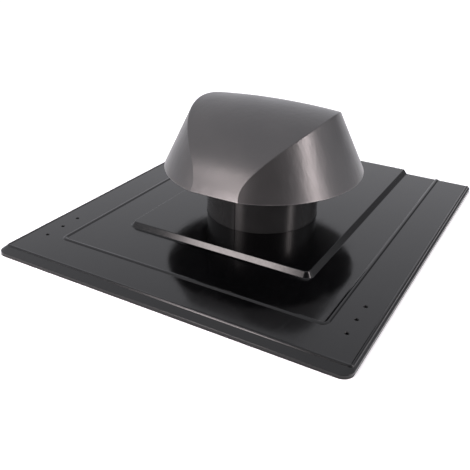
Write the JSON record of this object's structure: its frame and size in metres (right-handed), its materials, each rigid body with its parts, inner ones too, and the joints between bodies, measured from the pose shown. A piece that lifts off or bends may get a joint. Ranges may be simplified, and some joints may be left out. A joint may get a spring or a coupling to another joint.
{
  "type": "roof vent cap",
  "caption": "Static roof vent cap: gloss black flashing plate with a raised deck, a round collar and a satin grey cowl hood.",
  "frame": {"origin": "middle of the flashing plate's footprint, on the plane that its edges rest on", "axes": "+X across the roof, +Y up the slope towards the rear edge, +Z away from the roof, along the collar"},
  "size_m": [0.488, 0.5454, 0.1749],
  "materials": {
    "gloss_plastic": "glossy near-black moulded sheet",
    "satin_plastic": "satin anthracite",
    "guard_plastic": "matt black",
    "screw_steel": "plain stainless",
    "seal_rubber": "matt butyl"
  },
  "bodies": {
    "root": {"flashing_plate": "gloss_plastic", "collar": "satin_plastic", "flange_ring": "satin_plastic", "hood": "satin_plastic", "hood_screws": "screw_steel", "bird_guard": "guard_plastic", "seal_ring": "seal_rubber"}
  },
  "joints": []
}
